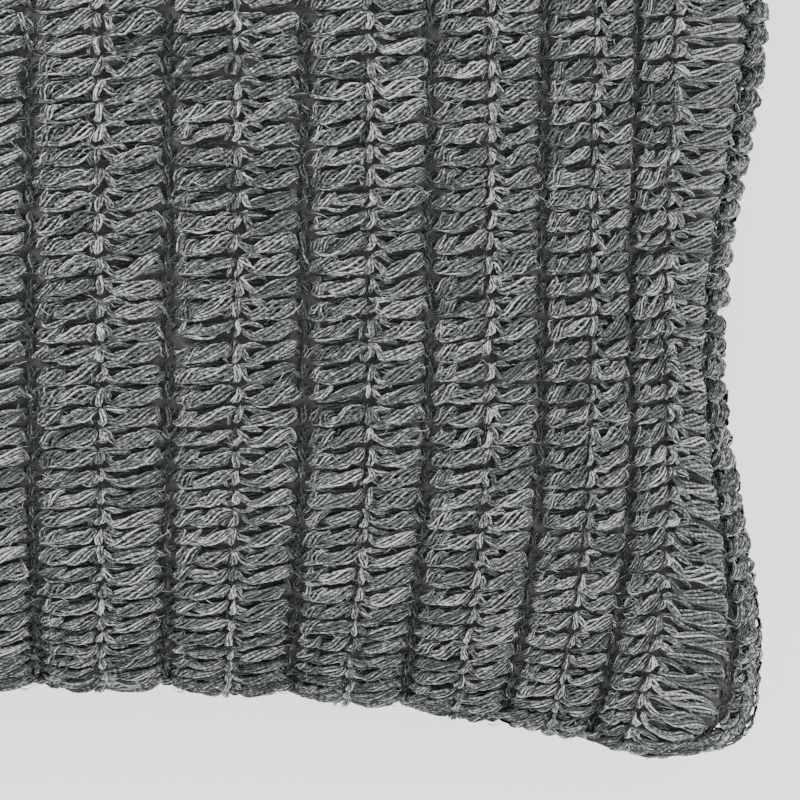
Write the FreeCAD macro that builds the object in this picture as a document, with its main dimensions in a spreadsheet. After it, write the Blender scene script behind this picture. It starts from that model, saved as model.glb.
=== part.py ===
import FreeCAD, Part
import math
import os

# Throw pillow, millimetres. It lies on its back: +Z is up through the front panel, +X runs
# across the crochet rows and -Y is the zipped edge. The origin is the middle of the base.

doc = FreeCAD.newDocument("throw_pillow")
sheet = doc.addObject("Spreadsheet::Sheet", "sizes")

SIZES = [
    # outline of the stuffed cover, seen from the front
    ("half_width", 230.0),
    ("half_length", 230.0),
    ("side_dip", 13.0),
    ("side_dip_reach", 210.0),
    ("end_dip", 21.0),
    ("end_dip_reach", 192.0),
    # height of the seam above the base, and of the front above the seam
    ("seam_height", 60.0),
    ("front_rise", 90.0),
    ("back_fullness", 1.25),
    # layers, outside to inside
    ("crochet_wall", 5.0),
    ("lining_wall", 0.8),
    ("layer_gap", 0.3),
    ("insert_ease", 1.0),
    ("insert_wall", 0.8),
    ("joining_band", 3.0),
    ("thread_band", 0.8),
    # zip
    ("chain_length", 300.0),
    ("tape_length", 340.0),
    ("tape_width", 13.0),
    ("tape_wall", 0.6),
    ("tape_gap", 1.4),
    ("tape_setback", 8.2),
    ("coil_gap", 1.0),
    ("coil_width", 1.7),
    ("coil_depth", 2.0),
    ("stop_length", 2.6),
    ("stop_depth", 2.6),
    ("slider_length", 9.0),
    ("slider_width", 7.8),
    ("slider_plate", 1.2),
    ("slider_play", 0.4),
    ("post_width", 0.6),
    ("post_length", 2.4),
    ("arch_length", 5.2),
    ("arch_width", 1.6),
    ("arch_bar", 1.2),
    ("arch_leg", 1.0),
    ("arch_window", 2.0),
    ("pin_radius", 0.7),
    ("pull_length", 24.0),
    ("pull_width", 5.2),
    ("pull_wall", 1.2),
    ("pull_rail", 1.3),
    ("eye_length", 3.9),
    ("slot_height", 9.2),
    ("slot_reach", 26.0),
    ("zip_thread", 0.5),
    # blank care label in the side seam
    ("label_width", 40.0),
    ("label_drop", 18.0),
    ("label_wall", 0.5),
    ("label_play", 0.4),
]
for row, (alias, value) in enumerate(SIZES, start=1):
    sheet.set(f"A{row}", alias)
    sheet.set(f"B{row}", str(value))
    sheet.setAlias(f"B{row}", alias)
doc.recompute()


def size(alias):
    return float(sheet.get(alias))


def bind(thing, **expressions):
    """Ties properties to the sheet: every word that is an alias reads its cell."""
    for prop, text in expressions.items():
        for alias, _ in sorted(SIZES, key=lambda pair: -len(pair[0])):
            text = text.replace("$" + alias, "<<sizes>>." + alias)
        thing.setExpression(prop.replace("__", "."), text)
    return thing


# ---------------------------------------------------------------- the soft body

CROWN_POWER = 2.4       # how square the fabric's crown is across the pillow
CROWN_ROOT = 0.55       # how round it turns over at the seam
SEAM_LEVEL = 0.06       # share of the crown at which the outline's corners are rounded
RING_POINTS = 40
CORNER_CROWDING = 0.18  # how much closer together a ring's points stand round the corners
UPPER_SHARES = [0.16, 0.36, 0.58, 0.78, 0.92, 0.99]
LOWER_SHARES = [0.16, 0.36, 0.58]


def crown(share):
    """Height of the crown, 1 in the middle and 0 at the edge, at a share of the half width."""
    return max(0.0, 1.0 - min(share, 1.0) ** CROWN_POWER) ** CROWN_ROOT


def half_width_at(y, inset):
    """Half width of the outline at y: the sides pull in twice, at the quarters."""
    turn = math.pi * min(abs(y) / size("side_dip_reach"), 1.0)
    return size("half_width") - inset - size("side_dip") * math.sin(turn) ** 2


def half_length_at(x, inset):
    """Half length of the outline at x: the ends pull in once, in the middle."""
    share = min(abs(x) / size("end_dip_reach"), 1.0)
    return size("half_length") - inset - size("end_dip") * (1.0 - share ** 2.6)


def fullness(x, y, inset):
    """Height above the seam at x, y as a share of the middle's; 0 round the seam."""
    across = crown(abs(x) / half_width_at(y, inset))
    along = crown(abs(y) / half_length_at(x, inset))
    return (across * along - SEAM_LEVEL) / (1.0 - SEAM_LEVEL)


def radius_at(angle, share, inset):
    """Distance from the middle at which the fullness falls to the given share."""
    near = 0.0
    far = 1.5 * max(size("half_width"), size("half_length"))
    for _ in range(50):
        middle = 0.5 * (near + far)
        if fullness(middle * math.cos(angle), middle * math.sin(angle), inset) > share:
            near = middle
        else:
            far = middle
    return near


def ring(share, height, inset):
    """A closed curve round the pillow, level, where the fullness has that share."""
    points = []
    for k in range(RING_POINTS):
        turn = 2.0 * math.pi * k / RING_POINTS
        angle = turn + CORNER_CROWDING * math.sin(4.0 * turn)
        reach = radius_at(angle, share, inset)
        points.append(FreeCAD.Vector(reach * math.cos(angle), reach * math.sin(angle), height))
    curve = Part.BSplineCurve()
    curve.interpolate(Points=points, PeriodicFlag=True)
    return Part.Wire([curve.toShape()])


def rise(inset):
    return size("front_rise") - inset


def depth(inset):
    """How deep the back would hang if nothing flattened it."""
    return size("seam_height") * size("back_fullness") - inset


def front_levels(inset, low):
    """Share and height of each ring of the front, from that far above the seam to the crown."""
    shares = [low / rise(inset)] + UPPER_SHARES
    return [(share, size("seam_height") + rise(inset) * share) for share in shares]


def back_levels(inset, low):
    """The same down the back, to where it lies flat on the base."""
    shares = [low / depth(inset)] + LOWER_SHARES + [(size("seam_height") - inset) / depth(inset)]
    return [(share, size("seam_height") - depth(inset) * share) for share in reversed(shares)]


def band_levels(inset, low):
    """A narrow band astride the seam."""
    seam = size("seam_height")
    return [(low / depth(inset), seam - low), (0.0, seam), (low / rise(inset), seam + low)]


def loft_of(levels, inset):
    """A solid through the rings: smooth over a whole panel, straight-sided on a narrow band."""
    straight = len(levels) == 3
    solid = Part.makeLoft([ring(share, height, inset) for share, height in levels], True, straight)
    if solid.Volume < 0:
        solid.reverse()
    return solid


def split_faces(solid):
    """The sides of a loft, and its level faces from low to high."""
    sides = [face for face in solid.Faces if not isinstance(face.Surface, Part.Plane)]
    level = [face for face in solid.Faces if isinstance(face.Surface, Part.Plane)]
    return sides, sorted(level, key=lambda face: face.BoundBox.ZMin)


def skin(name, levels, low, outer_inset, inner_inset, open_low, open_high):
    """One panel of a skin: two lofts, one inside the other, joined at their open ends."""
    sides, ends = split_faces(loft_of(levels(outer_inset, low), outer_inset))
    inner_sides, inner_ends = split_faces(loft_of(levels(inner_inset, low), inner_inset))
    faces = sides + [face.reversed() for face in inner_sides]
    for is_open, end, inner_end, up in ((open_low, ends[0], inner_ends[0], -1.0),
                                        (open_high, ends[1], inner_ends[1], 1.0)):
        if is_open:
            rim = Part.makeFace([end.OuterWire, inner_end.OuterWire], "Part::FaceMakerBullseye")
            if rim.normalAt(0, 0).z * up < 0:
                rim.reverse()
            faces.append(rim)
        else:
            faces += [end, inner_end.reversed()]
    made = doc.addObject("Part::Feature", name)
    made.Shape = Part.Solid(Part.Shell(faces))
    return made


def skin_pieces(name, band, outer_inset, inner_inset):
    """The front and back panels of one skin, and what joins them along the seam."""
    low = size(band) / 2.0
    return (skin(name + "_front_skin", front_levels, low, outer_inset, inner_inset, True, False),
            skin(name + "_back_skin", back_levels, low, outer_inset, inner_inset, False, True),
            skin(name + "_seam_skin", band_levels, low, outer_inset, inner_inset, True, True))


def stuffed(name, inset):
    """A whole pillow-shaped solid, that far inside the cover's outer face."""
    back_sides, back_ends = split_faces(loft_of(back_levels(inset, 0.0), inset))
    front_sides, front_ends = split_faces(loft_of(front_levels(inset, 0.0), inset))
    halves = Part.Compound(back_sides + [back_ends[0]] + front_sides + [front_ends[1]])
    halves.sewShape()
    made = doc.addObject("Part::Feature", name)
    made.Shape = Part.Solid(halves.Shells[0])
    return made


def slab(name, x_size, y_size, z_size, x_low, y_low, z_low):
    """A box, its sizes and low corner tied to the sheet."""
    box = doc.addObject("Part::Box", name)
    bind(box, Length=x_size, Width=y_size, Height=z_size)
    bind(box, Placement__Base__x=x_low, Placement__Base__y=y_low, Placement__Base__z=z_low)
    return box


def cut(name, base, tool):
    made = doc.addObject("Part::Cut", name)
    made.Base = base
    made.Tool = tool
    return made


def common(name, base, tool):
    made = doc.addObject("Part::Common", name)
    made.Base = base
    made.Tool = tool
    return made


def fuse(name, things):
    made = doc.addObject("Part::MultiFuse", name)
    made.Shapes = things
    return made


finished = []


def finish(thing, label):
    """Names a finished sub-part; the label is its file's name."""
    thing.Label = label
    finished.append(thing)
    return thing


# Front face of the zip tape: inside the lining, where the zipped edge pulls in most.
TAPE_FACE = "(-$half_length + $end_dip + $crochet_wall + $lining_wall + $tape_setback)"
LOW_Y = "-2 * $half_length"
SLOT_X = "$chain_length + 2 * $slot_reach"
SLOT_LOW_X = "-$chain_length / 2 - $slot_reach"
SLOT_DEPTH = f"2 * $half_length + {TAPE_FACE}"
zip_slot = slab("zip_slot", SLOT_X, SLOT_DEPTH, "$slot_height", SLOT_LOW_X, LOW_Y,
                "$seam_height - $slot_height / 2")

lining_inset = size("crochet_wall") + size("layer_gap")
cavity_inset = lining_inset + size("lining_wall")
insert_inset = cavity_inset + size("insert_ease")
shell_inset = insert_inset + size("insert_wall")
fill_inset = shell_inset + size("layer_gap")

front, back, seam = skin_pieces("crochet", "joining_band", 0.0, size("crochet_wall"))
finish(cut("crochet_front_open", front, zip_slot), "crochet_front")
finish(cut("crochet_back_open", back, zip_slot), "crochet_back")
finish(cut("crochet_seam_open", seam, zip_slot), "joining_yarn")

# The lining turns in along the slot and meets the zip tape, as a hem.
front, back, seam = skin_pieces("lining", "thread_band", lining_inset, cavity_inset)
hem_reach = stuffed("hem_reach", lining_inset + size("lining_wall") / 2.0)
upper_strip = slab("upper_strip", SLOT_X, SLOT_DEPTH, "$lining_wall", SLOT_LOW_X, LOW_Y,
                   "$seam_height + $slot_height / 2")
lower_strip = slab("lower_strip", SLOT_X, SLOT_DEPTH, "$lining_wall", SLOT_LOW_X, LOW_Y,
                   "$seam_height - $slot_height / 2 - $lining_wall")
upper_hem = common("upper_hem", hem_reach, upper_strip)
lower_hem = common("lower_hem", hem_reach, lower_strip)
finish(fuse("lining_front_sewn", [cut("lining_front_open", front, zip_slot), upper_hem]), "lining_front")
finish(fuse("lining_back_sewn", [cut("lining_back_open", back, zip_slot), lower_hem]), "lining_back")
finish(cut("lining_seam_open", seam, zip_slot), "lining_thread")

# The insert lies flat against the inside of the zip and gives way round the care label.
RECESS_BACK = f"({TAPE_FACE} + $tape_wall + 2 * $slider_play + $slider_plate + $insert_ease)"
LABEL_X = "($half_width - $crochet_wall - $lining_wall - $side_dip / 4 - $label_drop)"
pocket = slab("label_pocket", "2 * $label_drop", "$label_width + 2 * $label_play",
              "$label_wall + 2 * $label_play", f"{LABEL_X} - $label_play",
              "-$label_width / 2 - $label_play", "$seam_height - $label_wall / 2 - $label_play")


def spaces(name, extra):
    """What the insert makes room for: the zip, that much larger all round, and the label."""
    recess = slab(name + "_recess", f"{SLOT_X} + 8 + 2 * {extra}",
                  f"2 * $half_length + {RECESS_BACK} + {extra}",
                  f"2 * $tape_width + $tape_gap + 3 * $insert_ease + 2 * {extra}",
                  f"{SLOT_LOW_X} - 4 - {extra}", LOW_Y,
                  f"$seam_height - $tape_width - $tape_gap / 2 - 1.5 * $insert_ease - {extra}")
    return fuse(name, [recess, pocket])


front, back, seam = skin_pieces("insert", "thread_band", insert_inset, shell_inset)
room = spaces("insert_room", "0")
finish(cut("insert_front_open", front, room), "insert_shell_front")
finish(cut("insert_back_open", back, room), "insert_shell_back")
finish(cut("insert_seam_open", seam, room), "insert_thread")
fill_room = spaces("fill_room", "$layer_gap")
finish(cut("fill_open", stuffed("fill_whole", fill_inset), fill_room), "insert_fill")
finish(slab("care_label_box", "$label_drop - $label_play", "$label_width", "$label_wall", LABEL_X,
            "-$label_width / 2", "$seam_height - $label_wall / 2"), "care_label")

# ---------------------------------------------------------------- the zip

for side, sign in (("front", 1), ("back", -1)):
    low = "$seam_height + $tape_gap / 2" if sign > 0 else "$seam_height - $tape_gap / 2 - $tape_width"
    finish(slab(f"tape_{side}", "$tape_length", "$tape_wall", "$tape_width", "-$tape_length / 2",
                TAPE_FACE, low), f"zip_tape_{side}")
    low = "$seam_height + $coil_gap / 2" if sign > 0 else "$seam_height - $coil_gap / 2 - $coil_width"
    finish(slab(f"coil_{side}", "$chain_length", "$coil_depth", "$coil_width", "-$chain_length / 2",
                f"{TAPE_FACE} - $coil_depth", low), f"zip_coil_{side}")
    middle = f"$seam_height + {sign} * ($tape_gap / 2 + $tape_width * 0.75) - $zip_thread / 2"
    finish(slab(f"stitching_{side}", "$tape_length - 10", "$zip_thread", "$zip_thread",
                "-$tape_length / 2 + 5", f"{TAPE_FACE} - $zip_thread", middle), f"zip_thread_{side}")

STOP_WIDTH = "$coil_width + 0.1"
STOP_LOW_Y = f"{TAPE_FACE} - $stop_depth"
upper_stop = slab("upper_top_stop", "$stop_length", "$stop_depth", STOP_WIDTH,
                  "-$chain_length / 2 - $slider_play - $stop_length", STOP_LOW_Y,
                  "$seam_height + $tape_gap / 2")
lower_stop = slab("lower_top_stop", "$stop_length", "$stop_depth", STOP_WIDTH,
                  "-$chain_length / 2 - $slider_play - $stop_length", STOP_LOW_Y,
                  f"$seam_height - $tape_gap / 2 - ({STOP_WIDTH})")
top_stops = doc.addObject("Part::Compound", "top_stop_pair")
top_stops.Links = [upper_stop, lower_stop]
finish(top_stops, "zip_top_stops")
finish(slab("bottom_stop_box", "$stop_length", "$stop_depth", "2 * $coil_width + $coil_gap",
            "$chain_length / 2 + $slider_play", STOP_LOW_Y,
            "$seam_height - $coil_width - $coil_gap / 2"), "zip_bottom_stop")


def origin_plane(body, role):
    for feature in body.Origin.OriginFeatures:
        if feature.Role == role:
            return feature
    raise ValueError(role)


def line(sketch, start, end):
    return sketch.addGeometry(Part.LineSegment(FreeCAD.Vector(*start, 0), FreeCAD.Vector(*end, 0)), False)


def outline(body, name, points, offset):
    """A closed sketch of straight runs on the body's XZ plane, that far out along -Y.

    Each point is a pair of expressions; the sketch's constraints hold them.
    """
    import Sketcher
    sketch = body.newObject("Sketcher::SketchObject", name)
    sketch.AttachmentSupport = [(origin_plane(body, "XZ_Plane"), "")]
    sketch.MapMode = "FlatFace"
    bind(sketch, AttachmentOffset__Base__z=offset)
    count = len(points)
    start = [(math.cos(2 * math.pi * k / count) * 3, math.sin(2 * math.pi * k / count) * 3)
             for k in range(count)]
    for k in range(count):
        line(sketch, start[k], start[(k + 1) % count])
    for k in range(count):
        sketch.addConstraint(Sketcher.Constraint("Coincident", k, 2, (k + 1) % count, 1))
    for k, (x_text, y_text) in enumerate(points):
        for kind, text in (("DistanceX", x_text), ("DistanceY", y_text)):
            index = sketch.addConstraint(Sketcher.Constraint(kind, -1, 1, k, 1, start[k][kind == "DistanceY"]))
            sketch.renameConstraint(index, f"{kind}{k}")
            bind(sketch, **{f"Constraints__{kind}{k}": text})
    return sketch


def pad(body, sketch, length):
    made = body.newObject("PartDesign::Pad", sketch.Name + "_pad")
    made.Profile = sketch
    bind(made, Length=length)
    return made


def block(body, kind, name, sizes, low):
    """An added or cut block in a body: its x, y and z sizes and its low corner."""
    made = body.newObject(f"PartDesign::{kind}Box", name)
    bind(made, Length=sizes[0], Width=sizes[1], Height=sizes[2])
    bind(made, AttachmentOffset__Base__x=low[0], AttachmentOffset__Base__y=low[1],
         AttachmentOffset__Base__z=low[2])
    made.AttachmentSupport = [(origin_plane(body, "XY_Plane"), "")]
    made.MapMode = "FlatFace"
    return made


# Slider: its own middle is at the tape's front face, level with the seam.
SLIDER_X = "-$chain_length / 2 - $slider_play / 2 + $slider_length / 2"
FRONT_PLATE = "($coil_depth + $slider_play)"
NOSE = "-$slider_length / 2"
TAIL = "$slider_length / 2"
WAIST = "($slider_width / 2 - 0.7)"
HALF = "($slider_width / 2)"
slider = doc.addObject("PartDesign::Body", "slider")
shield = [(NOSE, f"-{HALF}"), ("-$slider_length / 10", f"-{HALF}"), (TAIL, f"-{WAIST}"),
          (TAIL, WAIST), ("-$slider_length / 10", HALF), (NOSE, HALF)]
pad(slider, outline(slider, "front_plate", shield, FRONT_PLATE), "$slider_plate")
block(slider, "Additive", "post", ("$post_length", f"{FRONT_PLATE} + $tape_wall + $slider_play", "$post_width"),
      (f"{NOSE} + 0.4", f"-{FRONT_PLATE}", "-$post_width / 2"))
REAR_PLATE = "-($tape_wall + $slider_play + $slider_plate)"
pad(slider, outline(slider, "rear_plate", shield, REAR_PLATE), "$slider_plate")
FLANGE_IN = "($coil_gap / 2 + $coil_width + $slider_play)"
for side, low in (("front", FLANGE_IN), ("back", f"-{WAIST}")):
    block(slider, "Additive", f"{side}_flange",
          ("$slider_length", "$coil_depth", f"{WAIST} - {FLANGE_IN}"), (NOSE, f"-{FRONT_PLATE}", low))
ARCH_TOP = f"({FRONT_PLATE} + $slider_plate + $arch_window + $arch_bar)"
block(slider, "Additive", "arch", ("$arch_length", "$arch_window + $arch_bar", "$arch_width"),
      ("-$arch_length / 2", f"-{ARCH_TOP}", "-$arch_width / 2"))
block(slider, "Subtractive", "arch_window_cut",
      ("$arch_length - 2 * $arch_leg", "$arch_window", "2 * $arch_width"),
      ("-$arch_length / 2 + $arch_leg", f"-{ARCH_TOP} + $arch_bar", "-$arch_width"))
bind(slider, Placement__Base__x=SLIDER_X, Placement__Base__y=TAPE_FACE, Placement__Base__z="$seam_height")
finish(slider, "zip_slider")

# Pull: its pin is the body's own origin, and it lies along the chain.
pull = doc.addObject("PartDesign::Body", "pull")
HALF_PULL = "($pull_width / 2)"
tab = [("$eye_length", f"-{HALF_PULL}"), ("$pull_length - 1.6", f"-{HALF_PULL}"),
       ("$pull_length", "-$pull_width / 4"), ("$pull_length", "$pull_width / 4"),
       ("$pull_length - 1.6", HALF_PULL), ("$eye_length", HALF_PULL)]
pad(pull, outline(pull, "tab", tab, "-$pull_wall / 2"), "$pull_wall")
for side, low in (("front", f"{HALF_PULL} - $pull_rail"), ("back", f"-{HALF_PULL}")):
    block(pull, "Additive", f"{side}_rail", ("$eye_length + 0.5", "$pull_wall", "$pull_rail"),
          ("0", "-$pull_wall / 2", low))
pin = pull.newObject("PartDesign::AdditiveCylinder", "pin")
pin.AttachmentSupport = [(origin_plane(pull, "XY_Plane"), "")]
pin.MapMode = "FlatFace"
bind(pin, Radius="$pin_radius", Height="$pull_width - 0.2",
     AttachmentOffset__Base__z="-$pull_width / 2 + 0.1")
PIN_Y = f"{TAPE_FACE} - {FRONT_PLATE} - $slider_plate - $arch_window / 2 - 0.1"
bind(pull, Placement__Base__x=SLIDER_X, Placement__Base__y=PIN_Y, Placement__Base__z="$seam_height")
finish(pull, "zip_pull")

doc.recompute()

# ---------------------------------------------------------------- check and write

for thing in doc.Objects:
    if "Invalid" in thing.State or "Error" in thing.State:
        raise RuntimeError(f"{thing.Name} failed: {thing.State}")
os.makedirs("parts", exist_ok=True)
for thing in finished:
    shape = thing.Shape
    if shape.isNull() or not shape.isValid() or not shape.Solids:
        raise RuntimeError(f"{thing.Label} has no valid solid")
    box = shape.BoundBox
    print(f"{thing.Label:20s} solids {len(shape.Solids)} volume {shape.Volume:12.1f}"
          f" x {box.XMin:.1f} {box.XMax:.1f} y {box.YMin:.1f} {box.YMax:.1f}"
          f" z {box.ZMin:.1f} {box.ZMax:.1f}")
    shape.exportStep(f"parts/{thing.Label}.step")
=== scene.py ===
# %% [markdown]
# A throw pillow is a soft box with no straight line in it: two ribbed crochet panels, a woven
# lining, a stuffed insert and a zip hidden in one edge. This lesson builds it round a measured
# frame, so every piece takes its place from that frame and nothing has to be fitted by eye.

# %% Load the measured frame
import bpy
import math
import numpy as np
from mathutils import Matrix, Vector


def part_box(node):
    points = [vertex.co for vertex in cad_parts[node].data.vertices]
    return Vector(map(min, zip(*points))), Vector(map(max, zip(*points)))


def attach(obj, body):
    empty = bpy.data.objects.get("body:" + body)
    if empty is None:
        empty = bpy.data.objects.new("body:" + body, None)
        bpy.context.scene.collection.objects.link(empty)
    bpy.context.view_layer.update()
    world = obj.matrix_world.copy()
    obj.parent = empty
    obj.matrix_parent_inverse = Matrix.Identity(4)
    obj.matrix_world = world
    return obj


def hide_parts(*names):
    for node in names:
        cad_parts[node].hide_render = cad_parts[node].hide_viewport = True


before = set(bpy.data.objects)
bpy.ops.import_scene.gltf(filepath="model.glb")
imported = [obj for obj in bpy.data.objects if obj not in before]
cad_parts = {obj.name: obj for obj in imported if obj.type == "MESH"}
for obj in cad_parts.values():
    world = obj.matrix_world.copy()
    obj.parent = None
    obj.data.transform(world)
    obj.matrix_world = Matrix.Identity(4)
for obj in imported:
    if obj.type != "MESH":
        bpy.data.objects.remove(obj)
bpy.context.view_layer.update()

# %% [markdown]
# The stuffed shape comes first, because every layer follows it. Its outline is a square whose
# sides draw in between the corners, and its height is a crown that is flat in the middle and
# rolls over at the seam. It could be sculpted or simulated, but a formula gives the same shape
# to every layer, so no layer cuts into the next.

# %% Outline and crown
MM = 0.001
HALF_WIDTH = 0.230
HALF_LENGTH = 0.230
SIDE_DIP = 0.013
SIDE_DIP_REACH = 0.210
END_DIP = 0.021
END_DIP_REACH = 0.192
CROWN_POWER = 2.4
CROWN_ROOT = 0.55
SEAM_LEVEL = 0.06
SEAM_HEIGHT = sum(corner.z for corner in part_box("joining_yarn")) / 2
FRONT_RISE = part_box("crochet_front")[1].z - SEAM_HEIGHT
BACK_RISE = -1.25 * SEAM_HEIGHT


def crown(share):
    return np.maximum(0.0, 1.0 - np.minimum(share, 1.0) ** CROWN_POWER) ** CROWN_ROOT


def half_width_at(y):
    return HALF_WIDTH - SIDE_DIP * np.sin(np.pi * np.minimum(np.abs(y) / SIDE_DIP_REACH, 1)) ** 2


def half_length_at(x):
    return HALF_LENGTH - END_DIP * (1 - np.minimum(np.abs(x) / END_DIP_REACH, 1) ** 2.6)


print("seam at", round(SEAM_HEIGHT, 4), "front rises", round(FRONT_RISE, 4))


# %% Points on the stuffed shape
def fullness(across, along):
    return (crown(np.abs(across)) * crown(np.abs(along)) - SEAM_LEVEL) / (1 - SEAM_LEVEL)


def shape_point(across, along, rise, inset=0.0):
    """Points for shares of the half width and half length, from -1 to 1."""
    x = across * HALF_WIDTH
    y = along * HALF_LENGTH
    for _ in range(10):
        x, y = across * (half_width_at(y) - inset), along * (half_length_at(x) - inset)
    z = SEAM_HEIGHT + (rise - math.copysign(inset, rise)) * fullness(across, along)
    return np.stack([x, y, z], -1)


def edge_share(across, along, rounds):
    """How far towards (across, along) the seam lies, by halving the gap again and again."""
    low, high = np.zeros_like(across), np.ones_like(across)
    for _ in range(rounds):
        middle = (low + high) / 2
        inside = crown(np.abs(across * middle)) * crown(np.abs(along * middle)) > SEAM_LEVEL
        low, high = np.where(inside, middle, low), np.where(inside, high, middle)
    return low


# %% [markdown]
# The crochet runs in rows from the zipped edge to the far edge, and a row is as wide on the
# rounded side as it is on top. So a place on the panel is given in rows across and stitches
# along, as a maker counts them, and the counts are turned into places by measuring round the
# shape. Near the corners the rows are drawn in, which leans them inward.

# %% Rows and stitches laid over the shape
ROWS_HALF = 12.5
STITCHES_HALF = 37
ROW_WIDTH = 20.6 * MM
STITCH_LENGTH = 6.5 * MM
CORNER_GATHER = 0.12
MIDDLE_STRETCH = 0.045
SIDE_CROWD = 0.088
LAST_FULL_ROW = 11.5
WAIST_COURSE = 0.46
STRIP_WIDTH = 10.0 * MM
LAST_STATION = 0.93
ROW_STEP = 0.125
STITCH_STEP = 0.25


def ease(value):
    value = np.clip(value, 0, 1)
    return value * value * (3 - 2 * value)


def spread(turn):
    return turn * (2 - np.abs(turn))


def run_lengths(points, axis):
    steps = np.linalg.norm(np.diff(points, axis=axis), axis=-1)
    pad = [(0, 0)] * steps.ndim
    pad[axis] = (1, 0)
    return np.pad(np.cumsum(steps, axis=axis), pad)


def course_run(course, rise, fine):
    """How far each share of the half width lies from the middle, and where the edge is."""
    station = min(course, LAST_STATION)
    length = run_lengths(shape_point(fine, np.full_like(fine, station), rise), 0)
    return length, np.interp(0, fullness(fine, course)[::-1], length[::-1])


def lay_panel(rise):
    """A quarter panel: places for each eighth row and each quarter stitch.

    Rows are spaced by their distance round the waist, drawn together towards the corners, and
    past the last full row an edge strip takes up what is left."""
    rows = np.arange(0, ROWS_HALF + 1.3, ROW_STEP)
    fine = spread(np.linspace(0, 1, 181))
    courses = spread(np.linspace(0, 1, 161))
    waist = course_run(WAIST_COURSE, rise, fine)[1]
    share = np.minimum(rows, LAST_FULL_ROW) / ROWS_HALF
    even = (share * (1 + MIDDLE_STRETCH * (1 - share ** 2)) - SIDE_CROWD * share ** 4) * waist
    across = np.empty((len(rows), len(courses)))
    for k, course in enumerate(courses):
        length, edge = course_run(course, rise, fine)
        pull = CORNER_GATHER * (0.35 + 0.65 * share) * np.clip((course - 0.4) / 0.6, 0, 1) ** 2.2
        target = even * (1 - pull)
        edge = max(edge, target[-1] + 1.5 * STRIP_WIDTH)
        knots = [LAST_FULL_ROW, ROWS_HALF, ROWS_HALF + 1, ROWS_HALF + 2]
        outer = np.interp(rows, knots, [target[-1], edge - STRIP_WIDTH, edge, edge + 8 * MM])
        across[:, k] = np.interp(np.where(rows > LAST_FULL_ROW, outer, target), length, fine)
    along = np.broadcast_to(courses, across.shape)
    length = run_lengths(shape_point(across, along, rise), 1)
    full = fullness(across, along)
    stitches = np.arange(0, STITCHES_HALF + 0.6, STITCH_STEP)
    out = np.empty((len(rows), len(stitches), 3))
    for r, row in enumerate(rows):
        if row <= ROWS_HALF:
            whole = np.interp(0, full[r, ::-1], length[r, ::-1])
            here = np.interp(stitches / STITCHES_HALF * whole, length[r], courses)
        out[r] = shape_point(np.interp(here, courses, across[r]), here, rise)
    return out


def outward(grid, rise):
    normal = np.cross(np.gradient(grid, axis=0), np.gradient(grid, axis=1))
    normal /= np.linalg.norm(normal, axis=-1, keepdims=True) + 1e-12
    return normal * math.copysign(1, rise)


PANELS = {}
for face_name, face_rise in (("front", FRONT_RISE), ("back", BACK_RISE)):
    face_grid = lay_panel(face_rise)
    PANELS[face_name] = (face_grid, outward(face_grid, face_rise), face_rise)
    print(face_name, "row 12.5 lies at", face_grid[100, 0].round(4))


# %% Places between the measured ones
LIP_GAP = 5.0 * MM
LIP_END = 0.176
LIP_FADE = 0.012


def open_lips(points):
    """Parts the two panels along the near edge, so that the zip shows between them."""
    x, y, z = points[..., 0], points[..., 1], points[..., 2] - SEAM_HEIGHT
    gap = LIP_GAP * ease((LIP_END - np.abs(x)) / LIP_FADE) * ease((-y - 0.150) / 0.040)
    points[..., 2] = SEAM_HEIGHT + np.sign(z) * np.hypot(z, gap)
    points[..., 2] = np.maximum(points[..., 2], 0.0002)
    return points


def place(face, rows, stitches, height):
    """Places for rows, stitches and heights over the panel, all arrays of one shape."""
    grid, normal, rise = PANELS[face]
    side = np.stack([np.where(rows < 0, -1.0, 1.0), np.where(stitches < 0, -1.0, 1.0)], -1)
    i = np.clip(np.abs(rows) / ROW_STEP, 0, grid.shape[0] - 1.001)
    j = np.clip(np.abs(stitches) / STITCH_STEP, 0, grid.shape[1] - 1.001)
    i0, j0 = i.astype(int), j.astype(int)
    u, v = (i - i0)[..., None], (j - j0)[..., None]

    def mix(a):
        near = a[i0, j0] * (1 - v) + a[i0, j0 + 1] * v
        far = a[i0 + 1, j0] * (1 - v) + a[i0 + 1, j0 + 1] * v
        return near * (1 - u) + far * u

    points = mix(grid) + mix(normal) * height[..., None]
    points[..., :2] *= side
    upper = rise > 0
    z = points[..., 2] - SEAM_HEIGHT
    points[..., 2] = SEAM_HEIGHT + (np.maximum(z, 1e-4) if upper else np.minimum(z, -1e-4))
    return open_lips(points)


# %% [markdown]
# Crochet yarn is several thin strands twisted together, and each stitch is a few bundles of
# them pulled tight at the ends. A bump on a smooth sheet would show no gaps and no knobby edge,
# so each strand is a thin tube of its own. Thousands of tubes are quick to make when one call
# spins a whole set of bundles with arrays.

# %% Spinning strands round a line
dice = np.random.default_rng(7)
STRAND_WANDER = 0.30


def unit(vectors):
    return vectors / (np.linalg.norm(vectors, axis=-1, keepdims=True) + 1e-15)


def bend_through(knots, count):
    """A smooth line of count points through four knots, for many lines at once."""
    s = np.linspace(0, 1, count)[:, None]
    a, b, c, d = (knots[:, k, None, :] for k in range(4))
    p1 = (-5 * a + 18 * b - 9 * c + 2 * d) / 6
    p2 = (2 * a - 9 * b + 18 * c - 5 * d) / 6
    return (1 - s) ** 3 * a + 3 * s * (1 - s) ** 2 * p1 + 3 * s * s * (1 - s) * p2 + s ** 3 * d


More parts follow.
